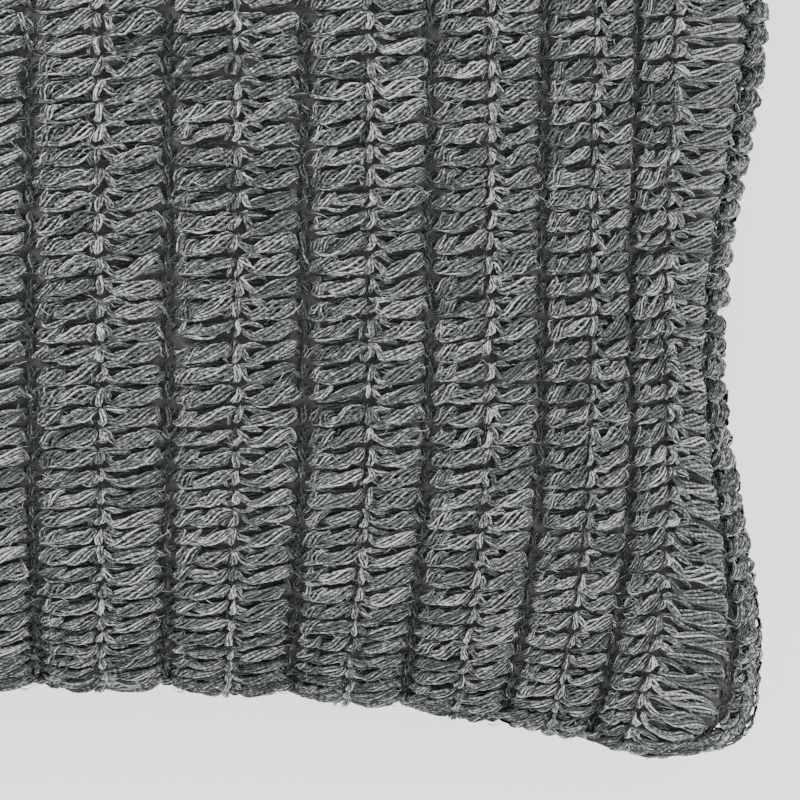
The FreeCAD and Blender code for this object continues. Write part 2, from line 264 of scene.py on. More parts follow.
def spin(line, up, wide, tall, strands, turns, thick, swell, sides):
    """Tubes round each line: an array of lines, strands, points, sides and x y z."""
    lines, count = line.shape[:2]
    s = np.linspace(0, 1, count)
    ahead = unit(np.gradient(line, axis=1))
    side = unit(np.cross(ahead, up))
    lift = np.cross(side, ahead)
    belly = 0.30 + 0.70 * np.sin(np.pi * s ** (math.log(0.5) / math.log(swell))) ** 0.8
    start = dice.random((lines, 1, 1))
    turn = 2 * np.pi * (start + np.arange(strands)[:, None] / strands + turns * s)
    if strands == 1:
        belly = belly * 0
    waves = dice.uniform(0.6, 2.2, (lines, strands, 1)) * s + dice.random((lines, strands, 1))
    wander = 1 + STRAND_WANDER * np.sin(2 * np.pi * waves)
    out = (np.cos(turn) * wide * belly * wander)[..., None] * side[:, None]
    out = out + (np.sin(turn) * tall * belly)[..., None] * lift[:, None]
    centre = line[:, None] + out
    radius = thick * (1 - 0.8 * np.abs(2 * s - 1) ** 5)
    radius = radius * dice.uniform(0.82, 1.18, (lines, strands, 1))
    ring = 2 * np.pi * np.arange(sides) / sides
    rim = np.cos(ring)[:, None] * side[:, None, :, None] + np.sin(ring)[:, None] * lift[:, None, :, None]
    return centre[..., None, :] + radius[..., None, None] * rim


# %% Turning tubes into a mesh
MAP_MARGIN = 0.08


class Skein:
    """Collects tubes, their tone and their depth, and turns them into one mesh."""

    def __init__(self):
        self.tubes, self.tones, self.depths, self.runs = [], [], [], []

    def add(self, tubes, tone=0.5, spread_of_tone=0.25, depth=None):
        count, sides = tubes.shape[-3], tubes.shape[-2]
        flat = tubes.reshape(-1, count, sides, 3)
        shade = np.broadcast_to(tone, tubes.shape[:2]).reshape(-1)
        shade = shade + spread_of_tone * dice.standard_normal(len(flat))
        self.tubes.append(flat)
        self.tones.append(np.repeat(shade, count * sides))
        deep = np.zeros(len(flat) * count * sides) if depth is None else depth.reshape(-1)
        self.depths.append(deep)
        run = run_lengths(flat.mean(2), 1) / MM + 9 * dice.random((len(flat), 1))
        self.runs.append(np.repeat(run.reshape(-1), sides))

    def mesh(self, name):
        total = sum(len(t) for t in self.tubes)
        cells = math.ceil(math.sqrt(total))
        quads, maps = [], []
        first, tube_number = 0, 0
        for tubes in self.tubes:
            n, count, sides = tubes.shape[:3]
            base = first + np.arange(n)[:, None, None] * count * sides
            ring = np.arange(count - 1)[:, None] * sides
            k = np.arange(sides)
            a = base + ring + k
            b = base + ring + (k + 1) % sides
            quads.append(np.stack([a, b, b + sides, a + sides], -1).reshape(-1, 4))
            cell = tube_number + np.arange(n)
            corner = np.stack([cell % cells, cell // cells], -1)[:, None, None, None]
            low = np.broadcast_to(k / sides, (count - 1, sides))
            near = np.broadcast_to(np.arange(count - 1)[:, None] / (count - 1), (count - 1, sides))
            du, dv = 1 / sides, 1 / (count - 1)
            u = np.stack([low, low + du, low + du, low], -1)
            v = np.stack([near, near, near + dv, near + dv], -1)
            inner = MAP_MARGIN + (1 - 2 * MAP_MARGIN) * np.stack([u, v], -1)
            maps.append(((corner + inner[None]) / cells).reshape(-1, 2))
            first += n * count * sides
            tube_number += n
        points = np.concatenate([t.reshape(-1, 3) for t in self.tubes])
        turns = np.concatenate([np.tile(2 * np.pi * np.arange(t.shape[2]) / t.shape[2],
                                        len(t) * t.shape[1]) for t in self.tubes])
        return build_mesh(name, points, np.concatenate(quads), np.concatenate(maps),
                          tone=np.concatenate(self.tones), depth=np.concatenate(self.depths),
                          run=np.concatenate(self.runs), turn_cos=np.cos(turns), turn_sin=np.sin(turns))


def build_mesh(name, points, quads, uv=None, **values):
    """One mesh from arrays of points and four-cornered faces."""
    me = bpy.data.meshes.new(name)
    me.vertices.add(len(points))
    me.vertices.foreach_set("co", points.astype(np.float32).ravel())
    me.loops.add(quads.size)
    me.loops.foreach_set("vertex_index", quads.astype(np.int32).ravel())
    me.polygons.add(len(quads))
    me.polygons.foreach_set("loop_start", np.arange(0, quads.size, 4, dtype=np.int32))
    me.polygons.foreach_set("use_smooth", np.ones(len(quads), bool))
    me.update(calc_edges=True)
    if uv is not None:
        uv_map = me.uv_layers.new(name="OFBake")
        uv_map.data.foreach_set("uv", uv.astype(np.float32).ravel())
    for key, value in values.items():
        me.attributes.new(key, "FLOAT", "POINT").data.foreach_set("value", value.astype(np.float32))
    return me


def show(name, me, finish, body, slot_name, *nodes):
    """Puts a mesh in the scene, dresses it, hangs it from its body and hides the measured parts it
    replaces; slot_name, what it stands for, is not used.
    """
    piece = bpy.data.objects.new(name, me)
    bpy.context.collection.objects.link(piece)
    me.materials.clear()
    me.materials.append(finish)
    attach(piece, body)
    if nodes:
        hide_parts(*nodes)
    return piece


# %% [markdown]
# Finishes come before the pieces, so that each piece is dressed as soon as it is made. The yarn
# is marled: silvery, warm grey and green-grey fibres lie side by side. Strands that lie deep in the
# hollows are darkened and tinted green by their depth, which is painted shade. Each strand carries
# its own tone, fine noise adds the fibres, and a soft sheen stands for the fuzz that catches light.

# %% Node helpers
def new_finish(name, rough, **fixed):
    finish = bpy.data.materials.new(name)
    finish.use_nodes = True
    shader = finish.node_tree.nodes["Principled BSDF"]
    shader.inputs["Roughness"].default_value = rough
    for key, value in fixed.items():
        shader.inputs[key.replace("_", " ")].default_value = value
    return finish, finish.node_tree, shader


def node(tree, kind, **settings):
    made = tree.nodes.new(kind)
    for key, value in settings.items():
        if hasattr(made, key):
            setattr(made, key, value)
        else:
            made.inputs[key.replace("_", " ")].default_value = value
    return made


def join(tree, *pairs):
    for source, target in zip(pairs[::2], pairs[1::2]):
        tree.links.new(source, target)


def ramp(tree, source, *stops):
    made = tree.nodes.new("ShaderNodeValToRGB")
    points = made.color_ramp.elements
    while len(points) < len(stops):
        points.new(0.5)
    for point, (place_on, colour) in zip(points, stops):
        point.position = place_on
        point.color = (*colour, 1)
    join(tree, source, made.inputs["Fac"])
    return made.outputs["Color"]


def bump_from(tree, shader, source, distance, strength=1.0):
    bump = node(tree, "ShaderNodeBump", Strength=strength, Distance=distance)
    join(tree, source, bump.inputs["Height"], bump.outputs["Normal"], shader.inputs["Normal"])


def sums(tree, kind, first, second):
    made = tree.nodes.new("ShaderNodeMath")
    made.operation = kind
    for value, socket in ((first, made.inputs[0]), (second, made.inputs[1])):
        if isinstance(value, (int, float)):
            socket.default_value = value
        else:
            join(tree, value, socket)
    return made.outputs[0]


# %% Marled yarn
PLY_LENGTH = 1.7


def attribute(tree, name):
    return node(tree, "ShaderNodeAttribute", attribute_name=name).outputs["Fac"]


def ply_twist(tree):
    """Light and dark plies turning round each strand, from -1 to 1."""
    run = sums(tree, "MULTIPLY", attribute(tree, "run"), 2 * math.pi / PLY_LENGTH)
    first = sums(tree, "MULTIPLY", sums(tree, "SINE", run, 0), attribute(tree, "turn_cos"))
    second = sums(tree, "MULTIPLY", sums(tree, "COSINE", run, 0), attribute(tree, "turn_sin"))
    return sums(tree, "ADD", first, second)


def yarn_finish(name, stops, painted_shade_tint, ply=0.20):
    finish, tree, shader = new_finish(name, 0.74, Sheen_Weight=0.22, Sheen_Roughness=0.45)
    place_at = tree.nodes.new("ShaderNodeTexCoord").outputs["Object"]
    patch = node(tree, "ShaderNodeTexNoise", Scale=760.0, Detail=3.0, Roughness=0.65)
    fibre = node(tree, "ShaderNodeTexNoise", Scale=2600.0, Detail=2.0, Roughness=0.7)
    join(tree, place_at, patch.inputs["Vector"], place_at, fibre.inputs["Vector"])
    flecks = sums(tree, "MULTIPLY", sums(tree, "SUBTRACT", patch.outputs["Fac"], 0.5), 2.4)
    fuzz = sums(tree, "MULTIPLY", sums(tree, "SUBTRACT", fibre.outputs["Fac"], 0.5), 0.9)
    twist = ply_twist(tree)
    marl = sums(tree, "ADD", attribute(tree, "tone"), sums(tree, "MULTIPLY", twist, ply))
    marl = sums(tree, "ADD", sums(tree, "ADD", marl, flecks), fuzz)
    colour = ramp(tree, marl, *stops)
    # painted shade: the colour is multiplied by a dark green tint as far as the strand lies deep
    hollow = node(tree, "ShaderNodeMix", data_type="RGBA", blend_type="MULTIPLY")
    hollow.inputs[7].default_value = (*painted_shade_tint, 1)
    join(tree, attribute(tree, "depth"), hollow.inputs[0], colour, hollow.inputs[6])
    join(tree, hollow.outputs[2], shader.inputs["Base Color"])
    relief = sums(tree, "ADD", fibre.outputs["Fac"], sums(tree, "MULTIPLY", twist, 0.5))
    bump_from(tree, shader, relief, 0.14 * MM, 0.9)
    return finish


# the last colour is the painted shade tint for strands deep in the hollows
CROCHET_YARN = yarn_finish("crochet_yarn", [(0.0, (0.016, 0.024, 0.021)), (0.34, (0.066, 0.090, 0.081)),
                                            (0.62, (0.160, 0.152, 0.151)), (1.0, (0.54, 0.56, 0.545))],
                           (0.15, 0.23, 0.21))
print("yarn finish ready")

# %% [markdown]
# One rib is two rows of tall stitches, worked back to back. In the first row, from the hollow
# up to the ridge, each stitch is a cluster of crossed strands that runs into a leaf-shaped
# bundle. In the second, from the ridge down to the hollow, a small curl at the ridge runs into
# a flatter leaf. Each bundle is four knots in millimetres: across the row, along it, and height.
# The back is the same work with fewer, thicker strands, because it lies underneath. Three-sided
# strands are enough at this size, made a little fuller so that they look round.

# %% The bundles of one stitch
# knots, half width, half height, strands, turns, thickness, points, tone, swell
# tone is the yarn's own marl, but the bundles lying deepest in the hollow have the lowest tones, 0.16 to
# 0.26, as painted shade
UPHILL = [
    ([(6.6, -2.2, -2.6), (10.6, -1.2, -0.7), (15.6, 0.4, -0.3), (20.0, 1.7, -1.5)],
     1.75, 0.90, 8, 0.45, 0.37, 9, 0.56, 0.64),
    ([(2.3, -2.9, -4.0), (4.3, -1.9, -1.9), (6.8, -0.1, -0.9), (10.2, 1.3, -1.6)],
     1.35, 0.80, 6, 0.60, 0.34, 8, 0.50, 0.50),
    ([(2.2, -2.4, -3.6), (3.3, -1.0, -1.9), (4.4, 0.8, -1.5), (5.6, 2.1, -2.5)],
     0.80, 0.40, 3, 0.40, 0.33, 6, 0.50, 0.50),
    ([(3.0, -3.0, -2.4), (6.4, -3.1, -1.5), (10.8, -2.6, -1.1), (15.4, -1.5, -1.4)],
     0.40, 0.30, 2, 0.70, 0.32, 8, 0.58, 0.50),
    ([(17.9, -3.2, -2.2), (17.8, -1.8, -1.1), (18.4, -0.2, -1.2), (19.0, 1.4, -2.3)],
     0.50, 0.30, 3, 0.35, 0.30, 5, 0.44, 0.50),
    ([(19.8, -2.7, -1.9), (20.5, -1.1, 0.2), (21.0, 0.8, 0.3), (21.5, 2.5, -1.6)],
     0.85, 0.50, 5, 0.45, 0.36, 6, 0.70, 0.50),
    ([(20.2, -3.2, -2.9), (19.4, -1.2, -2.2), (20.4, 1.2, -2.2), (19.8, 3.4, -2.9)],
     1.00, 0.40, 3, 0.50, 0.36, 6, 0.26, 0.50),
    ([(-0.8, -3.3, -4.4), (0.3, -1.2, -3.5), (-0.4, 1.0, -3.5), (0.5, 3.5, -4.4)],
     0.80, 0.45, 3, 0.50, 0.36, 6, 0.16, 0.50),
    ([(-1.8, -1.8, -4.6), (-0.2, -0.6, -3.9), (1.2, 0.4, -3.8), (2.6, 1.8, -4.2)],
     0.60, 0.40, 3, 0.40, 0.34, 5, 0.20, 0.50),
    ([(1.0, -1.0, -4.5), (7.0, -0.4, -3.4), (14.0, 0.4, -3.2), (20.0, 0.9, -3.6)],
     1.50, 0.40, 4, 0.30, 0.46, 6, 0.22, 0.50),
    ([(3.0, 2.5, -3.4), (7.5, 2.0, -2.9), (12.0, 3.0, -3.0), (18.0, 3.5, -3.0)],
     0.55, 0.35, 2, 0.60, 0.33, 7, 0.26, 0.50),
]
DOWNHILL = [
    ([(3.4, -2.0, -1.8), (7.4, -1.4, -0.4), (13.0, 0.7, -0.3), (18.5, 1.8, -2.5)],
     1.70, 0.90, 8, 0.42, 0.37, 9, 0.56, 0.55),
    ([(0.8, 1.5, -1.3), (2.0, 0.6, -0.3), (3.6, -1.3, -0.5), (6.8, -2.3, -1.4)],
     0.80, 0.45, 4, 0.45, 0.34, 7, 0.54, 0.50),
    ([(1.0, 2.2, -1.2), (3.0, 2.7, -0.7), (5.6, 2.4, -0.8), (9.0, 1.5, -1.8)],
     0.65, 0.40, 4, 0.50, 0.32, 7, 0.50, 0.50),
    ([(8.6, -2.3, -1.4), (12.6, -1.9, -0.9), (16.4, -0.9, -1.3), (19.2, 0.2, -3.4)],
     0.90, 0.45, 4, 0.40, 0.34, 7, 0.52, 0.50),
    ([(16.4, 2.9, -2.2), (17.6, 1.5, -1.9), (18.6, -0.6, -2.3), (19.5, -2.4, -3.7)],
     0.50, 0.30, 3, 0.35, 0.31, 5, 0.40, 0.50),
    ([(1.0, -1.0, -3.6), (7.0, -0.4, -3.2), (14.0, 0.4, -3.4), (20.0, 0.9, -4.5)],
     1.50, 0.40, 4, 0.30, 0.46, 6, 0.22, 0.50),
    ([(3.0, -3.4, -3.0), (8.0, -3.7, -2.9), (13.0, -2.9, -3.0), (18.0, -2.6, -3.6)],
     0.55, 0.35, 2, 0.60, 0.33, 7, 0.26, 0.50),
]
JITTER = np.array([0.55, 0.40, 0.32])
SLIPPED_SHARE = 0.02
ROW_SWAY = 0.35
STITCH_LEAN = 0.38
STITCH_SIZE, SIZE_VARIES = 1.06, 0.13
STITCH_BRIGHT, BUNDLE_BRIGHT, STRAND_BRIGHT = 0.045, 0.06, 0.20
# strands deeper than DEPTH_START mm are darkened as painted shade, fully at DEPTH_START plus DEPTH_REACH
DEPTH_START, DEPTH_REACH = 1.2, 4.2
FULLER_FINE, FULLER_COARSE = 1.09, 1.3
print(len(UPHILL), "bundles up the rib,", len(DOWNHILL), "down it")


# %% Working one row
def work_row(skein, face, row, detail, sides):
    """All the stitches of one row, laid over a panel."""
    stitches = np.arange(-STITCHES_HALF, STITCHES_HALF) + 0.5
    n = len(stitches)
    sway = ROW_SWAY * np.cumsum(dice.standard_normal(n)) / math.sqrt(n)
    slipped = dice.random(n) < SLIPPED_SHARE
    lean = STITCH_LEAN * dice.standard_normal(n)
    size = STITCH_SIZE + SIZE_VARIES * dice.standard_normal(n)
    bright = STITCH_BRIGHT * dice.standard_normal(n)
    for number, bundle in enumerate(UPHILL if row % 2 else DOWNHILL):
        knots, wide, tall, strands, turns, thick, count, tone, swell = bundle
        knots = np.array(knots) + JITTER * dice.standard_normal((n, 4, 3))
        knots[..., 0] += sway[:, None]
        knots[..., 1] += (lean[:, None] * (knots[..., 0] - 10) / 10) + 0.9 * slipped[:, None]
        thick *= FULLER_FINE if detail == 1 else FULLER_COARSE
        if detail < 1:
            strands, count = max(2, round(strands * detail)), max(4, count - 2)
        fat = (wide * size * np.where(slipped, 0.6, 1.0))[:, None, None]
        tubes = spin(bend_through(knots, count), np.array([0, 0, 1.0]), fat, tall,
                     strands, turns, thick, swell, sides)
        rows_at = row - 0.5 + tubes[..., 0] * MM / ROW_WIDTH
        stitch_at = stitches[:, None, None, None] + tubes[..., 1] * MM / STITCH_LENGTH
        # how deep each strand lies, which the yarn finish turns into painted shade
        depth = np.clip((-tubes[..., 2] - DEPTH_START) / DEPTH_REACH, 0, 1)
        own = tone + bright + BUNDLE_BRIGHT * dice.standard_normal(n)
        skein.add(place(face, rows_at, stitch_at, tubes[..., 2] * MM), own[:, None], STRAND_BRIGHT, depth)


# %% Loose fibres
FIBRES = 3


def loose_fibres(skein, face, row):
    """Fine hairs that lie across the stitches of one row and soften their outlines."""
    stitches = np.repeat(np.arange(-STITCHES_HALF, STITCHES_HALF) + 0.5, FIBRES)
    n = len(stitches)
    start = np.stack([dice.uniform(1, 17, n), dice.uniform(-3, 3, n), dice.uniform(-1.6, -0.2, n)], -1)
    way = np.stack([dice.uniform(0.8, 2.2, n), dice.uniform(-0.9, 1.3, n), np.zeros(n)], -1)
    steps = np.arange(4)[None, :, None]
    knots = start[:, None] + way[:, None] * steps + 0.35 * dice.standard_normal((n, 4, 3))
    knots[:, 1:3, 2] += 0.9
    tubes = spin(bend_through(knots, 5), np.array([0, 0, 1.0]), 0, 0, 1, 0, 0.12, 0.5, 3)
    rows_at = row - 0.5 + tubes[..., 0] * MM / ROW_WIDTH
    stitch_at = stitches[:, None, None, None] + tubes[..., 1] * MM / STITCH_LENGTH
    skein.add(place(face, rows_at, stitch_at, tubes[..., 2] * MM), 0.62, 0.25)


# %% The two panels, two rows to a piece
def work_panel(face, node_name, detail, sides):
    rows = list(range(-13, 14))
    for number, first in enumerate(range(0, len(rows), 2)):
        skein = Skein()
        for row in rows[first:first + 2]:
            work_row(skein, face, row, detail, sides)
            if detail == 1:
                loose_fibres(skein, face, row)
        name = f"crochet_{face}_rows_{number + 1:02d}"
        piece = show(name, skein.mesh(name), CROCHET_YARN, "cover", "crochet_yarn", node_name)
    print(face, "panel:", number + 1, "pieces, last has", len(piece.data.polygons), "faces")


work_panel("front", "crochet_front", 1.0, 3)
work_panel("back", "crochet_back", 0.6, 3)

# %% [markdown]
# The two panels are joined by a round of chain stitches along the seam, which looks like a slack
# rope laid on the edge. Along the zip each panel has a chain of its own, tucked in under the last
# stitches, so that the zip can open. Both are short bundles, each one lying over the next.

# %% Lines over the edge
CHAIN_STITCH = 5.5 * MM
OPEN_REACH = 0.171


def seam_line(count=1200):
    """The outline of the pillow at the seam, as a closed run of points."""
    turn = np.linspace(0, 2 * np.pi, count, endpoint=False)
    across, along = np.cos(turn), np.sin(turn)
    biggest = np.maximum(np.abs(across), np.abs(along))
    across, along = across / biggest, along / biggest
    share = edge_share(across, along, 40)
    return shape_point(across * share, along * share, FRONT_RISE)


def even_run(line, step):
    """Evenly spaced points round a closed line, and the way out from it at each."""
    closed = np.concatenate([line, line[:1]])
    length = run_lengths(closed, 0)
    count = round(length[-1] / step)
    at = np.arange(count) * length[-1] / count
    points = np.stack([np.interp(at, length, closed[:, k]) for k in range(3)], -1)
    ahead = unit(np.roll(points, -1, 0) - np.roll(points, 1, 0))
    out = np.stack([ahead[:, 1], -ahead[:, 0], np.zeros(count)], -1)
    return points, ahead, out


OUTLINE = seam_line()
print("edge is", round(run_lengths(OUTLINE, 0)[-1], 3), "m round")


# %% Chain stitches
def chain(skein, points, ahead, out, inset, level, lean, wide, tone):
    """Bundles along the edge, each from one stitch to past the next."""
    up = np.array([0, 0, 1.0])
    base = points - out * inset + up * level
    knots = np.stack([base - ahead * 4.6 * MM - out * 1.5 * MM - up * lean * 1.3,
                      base - ahead * 1.7 * MM + out * 0.2 * MM - up * lean * 0.5,
                      base + ahead * 1.7 * MM + out * 0.2 * MM + up * lean * 0.5,
                      base + ahead * 4.6 * MM - out * 1.5 * MM + up * lean * 1.3], 1)
    knots += 0.28 * MM * dice.standard_normal(knots.shape)
    facing = np.repeat(out[:, None], 7, 1) + 0.001
    tubes = spin(bend_through(knots, 7), facing, wide, 0.8 * MM, 6, 0.6, 0.38 * MM, 0.5, 3)
    skein.add(tubes, tone, 0.2)
    return tubes


skein = Skein()
run_points, run_ahead, run_out = even_run(OUTLINE, CHAIN_STITCH)
opening = (run_points[:, 1] < -0.15) & (np.abs(run_points[:, 0]) < OPEN_REACH)
closed = [part[~opening] for part in (run_points, run_ahead, run_out)]
lips = [part[opening] for part in (run_points, run_ahead, run_out)]
for level, lean in ((1.5 * MM, 1.0 * MM), (-1.5 * MM, -1.0 * MM)):
    chain(skein, *closed, 2.6 * MM, level, lean, 1.5 * MM, 0.50)
chain(skein, *closed, 3.6 * MM, 0, 0.2 * MM, 1.8 * MM, 0.32)
for side in (1, -1):
    level = side * (LIP_GAP + 2.2 * MM)
    tubes = chain(skein, *lips, 3.6 * MM, level, side * 0.5 * MM, 1.2 * MM, 0.42)
    low = LIP_GAP * 0.93
    z = np.maximum(side * (tubes[..., 2] - SEAM_HEIGHT), low)
    tubes[..., 2] = SEAM_HEIGHT + side * z

edge_piece = show("joining_round", skein.mesh("joining_round"), CROCHET_YARN, "cover", "crochet_yarn",
                  "joining_yarn")
print("joining round:", len(edge_piece.data.polygons), "faces")

# %% [markdown]
# Behind the crochet lies a plain woven lining, which shows between the stitches. Its colour is the
# cloth's own dull grey-brown, darkened further as painted shade for the gaps. It is a sheet pulled
# smooth over the insert, so a grid that follows the stuffed shape a few millimetres further in is
# enough, with a real cloth thickness and folded hems that run in to the zip.

# %% Woven cloth
def cloth_finish(name, colour, other, threads_per_m, rough=0.85, relief=0.10 * MM):
    finish, tree, shader = new_finish(name, rough, Sheen_Weight=0.15)
    place_at = tree.nodes.new("ShaderNodeTexCoord").outputs["Object"]
    split = node(tree, "ShaderNodeSeparateXYZ")
    join(tree, place_at, split.inputs[0])
    waves = []
    for axis in ("X", "Y"):
        turns = sums(tree, "MULTIPLY", split.outputs[axis], threads_per_m * math.pi)
        waves.append(sums(tree, "ABSOLUTE", sums(tree, "SINE", turns, 0), 0))
    over = sums(tree, "MAXIMUM", waves[0], waves[1])
    blotch = node(tree, "ShaderNodeTexNoise", Scale=45.0, Detail=4.0)
    slub = node(tree, "ShaderNodeTexNoise", Scale=900.0, Detail=2.0)
    join(tree, place_at, blotch.inputs["Vector"], place_at, slub.inputs["Vector"])
    mixed = sums(tree, "ADD", sums(tree, "MULTIPLY", over, 0.5),
                 sums(tree, "MULTIPLY", slub.outputs["Fac"], 0.5))
    patches = sums(tree, "SUBTRACT", blotch.outputs["Fac"], 0.5)
    mixed = sums(tree, "ADD", mixed, sums(tree, "MULTIPLY", patches, 0.5))
    join(tree, ramp(tree, mixed, (0.2, other), (0.85, colour)), shader.inputs["Base Color"])
    bump_from(tree, shader, sums(tree, "ADD", over, slub.outputs["Fac"]), relief)
    return finish


# the lining's grey-brown is its own colour, darkened by a quarter as painted shade
LINING_CLOTH_WITH_PAINTED_SHADE = cloth_finish("lining_cloth", (0.080, 0.073, 0.073), (0.046, 0.043, 0.043), 1400)
INSERT_CLOTH = cloth_finish("insert_cloth", (0.80, 0.79, 0.76), (0.62, 0.61, 0.58), 1800)
FILLING = cloth_finish("filling_fibre", (0.90, 0.90, 0.88), (0.72, 0.72, 0.70), 260, 0.95, 0.8 * MM)
LABEL_TAPE = cloth_finish("label_tape", (0.84, 0.84, 0.81), (0.70, 0.70, 0.67), 2400, 0.5)


# %% Sheets that follow the stuffed shape
def grid_quads(rows, columns, first=0):
    i, j = np.meshgrid(np.arange(rows - 1), np.arange(columns - 1), indexing="ij")
    a = first + i * columns + j
    return np.stack([a, a + columns, a + columns + 1, a + 1], -1).reshape(-1, 4)


def layer(rise, inset, count):
    """A square grid of points over one side of the shape, inset from its skin."""
    p, q = np.meshgrid(np.linspace(-1, 1, count), np.linspace(-1, 1, count), indexing="ij")
    biggest = np.maximum(np.maximum(np.abs(p), np.abs(q)), 1e-9)
    across, along = p / biggest, q / biggest
    reach = edge_share(across, along, 32) * spread(biggest)
    points = shape_point(across * reach, along * reach, rise, inset)
    if rise < 0:
        points[..., 2] = np.maximum(points[..., 2], inset)
    return points


LINING_INSET = 5.7 * MM
CLOTH_WALL = 0.5 * MM
SHEET_COUNT = 141
HEM_REACH = 0.170
HEM_COUNT, HEM_DEPTH = 60, 6


def hem(rise, wall):
    """The folded edge of the lining, from its lip in to the zip tape."""
    x = np.linspace(-HEM_REACH, HEM_REACH, HEM_COUNT)
    lip = -(half_length_at(x) - LINING_INSET - 0.8 * MM)
    run = np.linspace(0, 1, HEM_DEPTH)[:, None]
    y = lip + (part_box("zip_tape_front")[0].y - 0.4 * MM - lip) * run
    z = SEAM_HEIGHT + math.copysign(LIP_GAP + wall + 0.1 * MM, rise) + 0 * y
    return np.stack([x + 0 * y, y, z], -1)


def thicken(piece, wall):
    made = piece.modifiers.new("wall", "SOLIDIFY")
    made.thickness = wall
    made.offset = 0


for face, rise in (("front", FRONT_RISE), ("back", BACK_RISE)):
    main = open_lips(layer(rise, LINING_INSET, SHEET_COUNT))
    fold = hem(rise, CLOTH_WALL)
    points = np.concatenate([main.reshape(-1, 3), fold.reshape(-1, 3)])
    quads = np.concatenate([grid_quads(SHEET_COUNT, SHEET_COUNT),
                            grid_quads(HEM_DEPTH, HEM_COUNT, main.size // 3)])
    if rise < 0:
        quads = quads[:, ::-1]
    lining = show(f"lining_{face}_sheet", build_mesh(f"lining_{face}", points, quads),
                  LINING_CLOTH_WITH_PAINTED_SHADE, "cover", "lining_cloth", f"lining_{face}")
    thicken(lining, CLOTH_WALL)
    print(face, "lining reaches", points.max(0).round(4))

# %% [markdown]
# The insert is a cloth shell, sewn shut round polyester filling, and it pushes the cover out.
# Nobody sees it while the cover is closed, but it is a piece of its own with its own cloth. It
# gives way where the zip lies against it. The filling is swelled by a short cloth simulation
# with air pressure, because loose fibre rounds itself out in that way.

# %% Insert shell
ZIP_SIDE = 0.192
ROOM_FADE, ROOM_HEIGHT, ROOM_RISE = 0.014, 0.028, 0.008
BEHIND_ALL = 0.24


def make_room(points):
    """Pushes the insert's near edge back from the zip."""
    x, y, z = points[..., 0], points[..., 1], points[..., 2] - SEAM_HEIGHT
    near = ease((ZIP_SIDE - np.abs(x)) / ROOM_FADE) * ease((ROOM_HEIGHT - np.abs(z)) / ROOM_RISE)
    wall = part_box("zip_slider")[1].y + 2.6 * MM
    points[..., 1] = np.where(y < -0.15, np.maximum(y, -BEHIND_ALL + (wall + BEHIND_ALL) * near), y)
    return points


SHELL_INSET = 7.5 * MM
SHELL_COUNT = 101
for face, rise in (("front", FRONT_RISE), ("back", BACK_RISE)):
    points = make_room(layer(rise, SHELL_INSET, SHELL_COUNT))
    quads = grid_quads(SHELL_COUNT, SHELL_COUNT)
    quads = quads if rise > 0 else quads[:, ::-1]
    shell = show(f"insert_{face}_sheet", build_mesh(f"insert_{face}", points.reshape(-1, 3), quads),
                 INSERT_CLOTH, "cover", "insert_cloth", f"insert_shell_{face}")
    thicken(shell, CLOTH_WALL)
print("insert shells made")


# %% Filling
FILL_INSET = 9.5 * MM
SWELL_ROOM = 5 * MM
FILL_COUNT = 61
top = layer(FRONT_RISE, FILL_INSET + SWELL_ROOM, FILL_COUNT)
bottom = layer(BACK_RISE, FILL_INSET + SWELL_ROOM, FILL_COUNT)
points = make_room(np.concatenate([top.reshape(-1, 3), bottom.reshape(-1, 3)]))
quads = np.concatenate([grid_quads(FILL_COUNT, FILL_COUNT),
                        grid_quads(FILL_COUNT, FILL_COUNT, FILL_COUNT ** 2)[:, ::-1]])
filling = show("filling", build_mesh("filling", points, quads), FILLING, "cover", "filling", "insert_fill")


def apply_modifiers(piece):
    bpy.context.view_layer.objects.active = piece
    for made in list(piece.modifiers):
        bpy.ops.object.modifier_apply(modifier=made.name)


weld = filling.modifiers.new("weld", "WELD")
weld.merge_threshold = 0.3 * MM
voxels = filling.modifiers.new("even", "REMESH")
voxels.mode = "VOXEL"
voxels.voxel_size = 6 * MM
apply_modifiers(filling)
PUFF_LIMIT = 4.0 * MM
PUFF_FRAMES = 20


def puff(piece):
    """Swells a closed piece by a short cloth simulation, each point moving only so far."""
    before = np.empty(len(piece.data.vertices) * 3)
    piece.data.vertices.foreach_get("co", before)
    air = piece.modifiers.new("air", "CLOTH")
    air.settings.use_pressure = True
    air.settings.uniform_pressure_force = 4.0
    air.settings.effector_weights.gravity = 0
    for moment in range(1, PUFF_FRAMES + 1):
        bpy.context.scene.frame_set(moment)
    apply_modifiers(piece)
    after = np.empty_like(before)
    piece.data.vertices.foreach_get("co", after)
    move = (after - before).reshape(-1, 3)
    far = np.linalg.norm(move, axis=1, keepdims=True)
    move *= np.minimum(1, PUFF_LIMIT / np.maximum(far, 1e-9))
    piece.data.vertices.foreach_set("co", (before.reshape(-1, 3) + move).ravel())
    bpy.context.scene.frame_set(1)
    return far.max()


print("filling swelled by up to", round(float(puff(filling)) / MM, 1), "mm before the limit")
filling.data.polygons.foreach_set("use_smooth", np.ones(len(filling.data.polygons), bool))

# %% [markdown]
# The sewing holds the layers: a seam thread closes the insert and another the lining, and a
# running stitch holds each zip tape. Thread is two plies, so each stitch is a pair of thin
# strands that dips at both ends.

# %% Sewing thread
THREAD = yarn_finish("sewing_thread", [(0.0, (0.02, 0.021, 0.021)), (0.5, (0.05, 0.052, 0.052)),
                                       (1.0, (0.10, 0.102, 0.10))], (0.5, 0.5, 0.5), 0.3)


